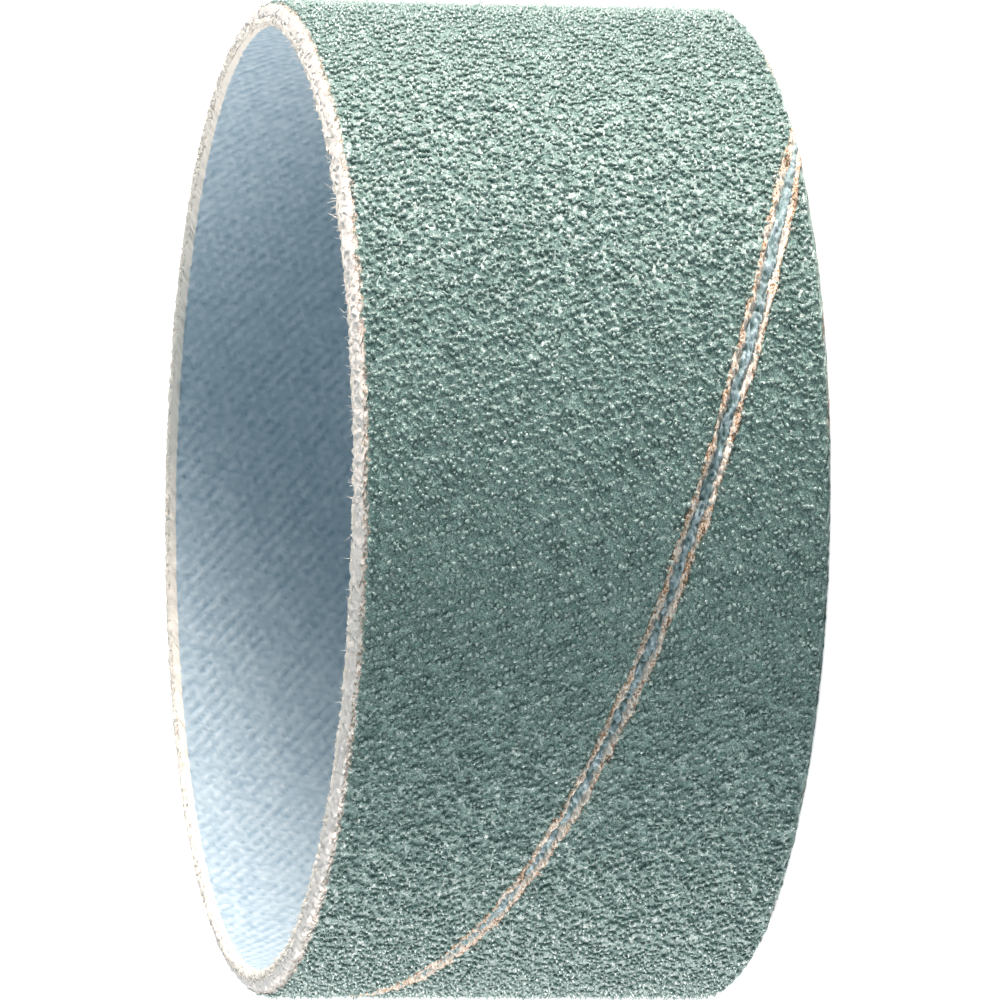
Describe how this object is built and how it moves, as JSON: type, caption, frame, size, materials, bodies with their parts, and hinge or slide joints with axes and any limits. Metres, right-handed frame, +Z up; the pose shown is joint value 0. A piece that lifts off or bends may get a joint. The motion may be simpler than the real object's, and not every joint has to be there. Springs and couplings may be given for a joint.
{
  "type": "sanding sleeve",
  "caption": "Short spiral-wound tube of abrasive cloth over a plain cloth liner, open at both ends, that slides over an expanding rubber drum to sand with its outside.",
  "frame": {"origin": "centre of the bottom end, in the plane that the sleeve stands on", "axes": "+Z up along the sleeve's axis; -Y is the side that the picture looks at, and its top edge is +X"},
  "size_m": [0.0538, 0.0538, 0.025],
  "materials": {
    "abrasive_cloth": "rough",
    "liner_cloth": "matte"
  },
  "bodies": {
    "root": {"abrasive_strip": "abrasive_cloth", "liner_strip": "liner_cloth"}
  },
  "joints": []
}
